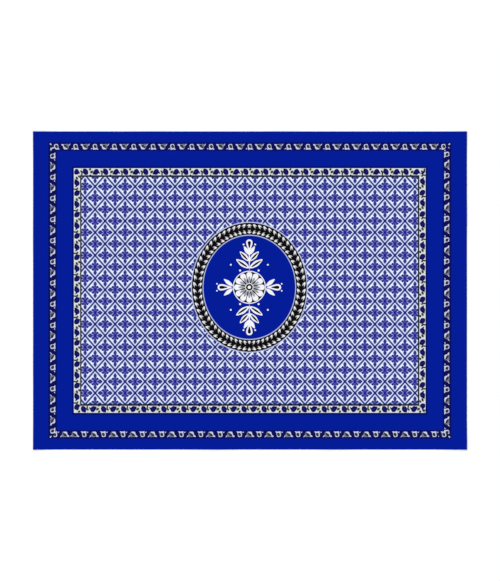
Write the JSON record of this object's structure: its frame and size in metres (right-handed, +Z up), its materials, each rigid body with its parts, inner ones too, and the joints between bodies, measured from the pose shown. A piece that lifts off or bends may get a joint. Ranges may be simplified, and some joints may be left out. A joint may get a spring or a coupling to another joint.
{
  "type": "khanga wrap cloth, laid flat",
  "caption": "Rectangular printed cotton wrap cloth with hemmed ends and selvedge sides, lying spread out face up; worn as a skirt, shawl or sling.",
  "frame": {"origin": "on the surface that the cloth lies on, under the middle of its plan", "axes": "+X along the length, between the hemmed ends; +Y across the width, towards the top of the print; +Z up out of the printed face"},
  "size_m": [1.5, 1.1, 0.0054],
  "materials": {
    "printed_cotton": "plain-weave cotton, matte, royal blue ground printed with a white and blue lattice field, two vine borders and an oval medallion"
  },
  "bodies": {
    "root": {"khanga_cloth": "printed_cotton"}
  },
  "joints": []
}
